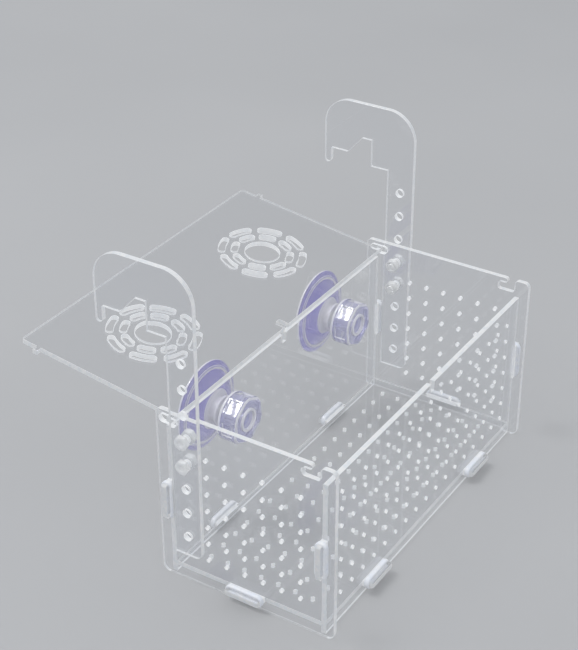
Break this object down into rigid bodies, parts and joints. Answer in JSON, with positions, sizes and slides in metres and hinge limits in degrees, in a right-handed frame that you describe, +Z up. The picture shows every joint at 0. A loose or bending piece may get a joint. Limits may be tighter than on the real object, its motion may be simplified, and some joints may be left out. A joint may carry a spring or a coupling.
{
  "type": "fish breeding box",
  "caption": "Clear acrylic hang-on box with perforated walls, a hinged lid with round vents, stepped hook plates and suction cups for isolating fish in an aquarium.",
  "frame": {"origin": "middle of the footprint of the whole object with its lid open, at the edges it stands on", "axes": "+X to the right along the box, +Y to the tank wall, +Z up"},
  "size_m": [0.214, 0.1846, 0.1775],
  "materials": {
    "clear_acrylic": "polished faces, laser-cut edges that catch the light",
    "clear_plastic": "moulded clear nylon screws, nuts and studs",
    "violet_vinyl": "soft translucent violet vinyl, glossy",
    "lilac_plastic": "moulded clear lilac knob, glossy",
    "silicone": "milky translucent silicone, satin"
  },
  "bodies": {
    "box": {"front_panel": "clear_acrylic", "back_panel": "clear_acrylic", "bottom_panel": "clear_acrylic", "left_end_panel": "clear_acrylic", "left_hook": "clear_acrylic", "left_lower_bolt": "clear_plastic", "left_upper_bolt": "clear_plastic", "left_suction_cup": "violet_vinyl", "left_cup_stud": "clear_plastic", "right_end_panel": "clear_acrylic", "right_hook": "clear_acrylic", "right_lower_bolt": "clear_plastic", "right_upper_bolt": "clear_plastic", "right_suction_cup": "violet_vinyl", "right_cup_stud": "clear_plastic", "left_front_ring": "silicone", "left_back_ring": "silicone", "left_floor_ring": "silicone", "front_left_ring": "silicone", "back_left_ring": "silicone", "right_front_ring": "silicone", "right_back_ring": "silicone", "right_floor_ring": "silicone", "front_right_ring": "silicone", "back_right_ring": "silicone"},
    "lid": {"lid": "clear_acrylic"},
    "left_knob": {"left_cup_knob": "lilac_plastic"},
    "left_lower_nut": {"left_lower_nut": "clear_plastic"},
    "left_upper_nut": {"left_upper_nut": "clear_plastic"},
    "right_knob": {"right_cup_knob": "lilac_plastic"},
    "right_lower_nut": {"right_lower_nut": "clear_plastic"},
    "right_upper_nut": {"right_upper_nut": "clear_plastic"}
  },
  "joints": [
    {"name": "lid_hinge", "type": "hinge", "parent": "box", "child": "lid", "pos_m": [0, -0.00008, 0.0935], "axis": [1, 0, 0], "range_deg": [0, 172.4]},
    {"name": "left_knob_turn", "type": "hinge", "parent": "box", "child": "left_knob", "pos_m": [-0.05385, -0.00838, 0.07084], "axis": [0, 1, 0], "continuous": true},
    {"name": "left_lower_nut_turn", "type": "hinge", "parent": "box", "child": "left_lower_nut", "pos_m": [-0.0968, -0.01033, 0.0725], "axis": [1, 0, 0], "continuous": true},
    {"name": "left_upper_nut_turn", "type": "hinge", "parent": "box", "child": "left_upper_nut", "pos_m": [-0.0968, -0.01033, 0.0868], "axis": [1, 0, 0], "continuous": true},
    {"name": "right_knob_turn", "type": "hinge", "parent": "box", "child": "right_knob", "pos_m": [0.05385, -0.00838, 0.07084], "axis": [0, 1, 0], "continuous": true},
    {"name": "right_lower_nut_turn", "type": "hinge", "parent": "box", "child": "right_lower_nut", "pos_m": [0.0968, -0.01033, 0.0725], "axis": [1, 0, 0], "continuous": true},
    {"name": "right_upper_nut_turn", "type": "hinge", "parent": "box", "child": "right_upper_nut", "pos_m": [0.0968, -0.01033, 0.0868], "axis": [1, 0, 0], "continuous": true}
  ]
}
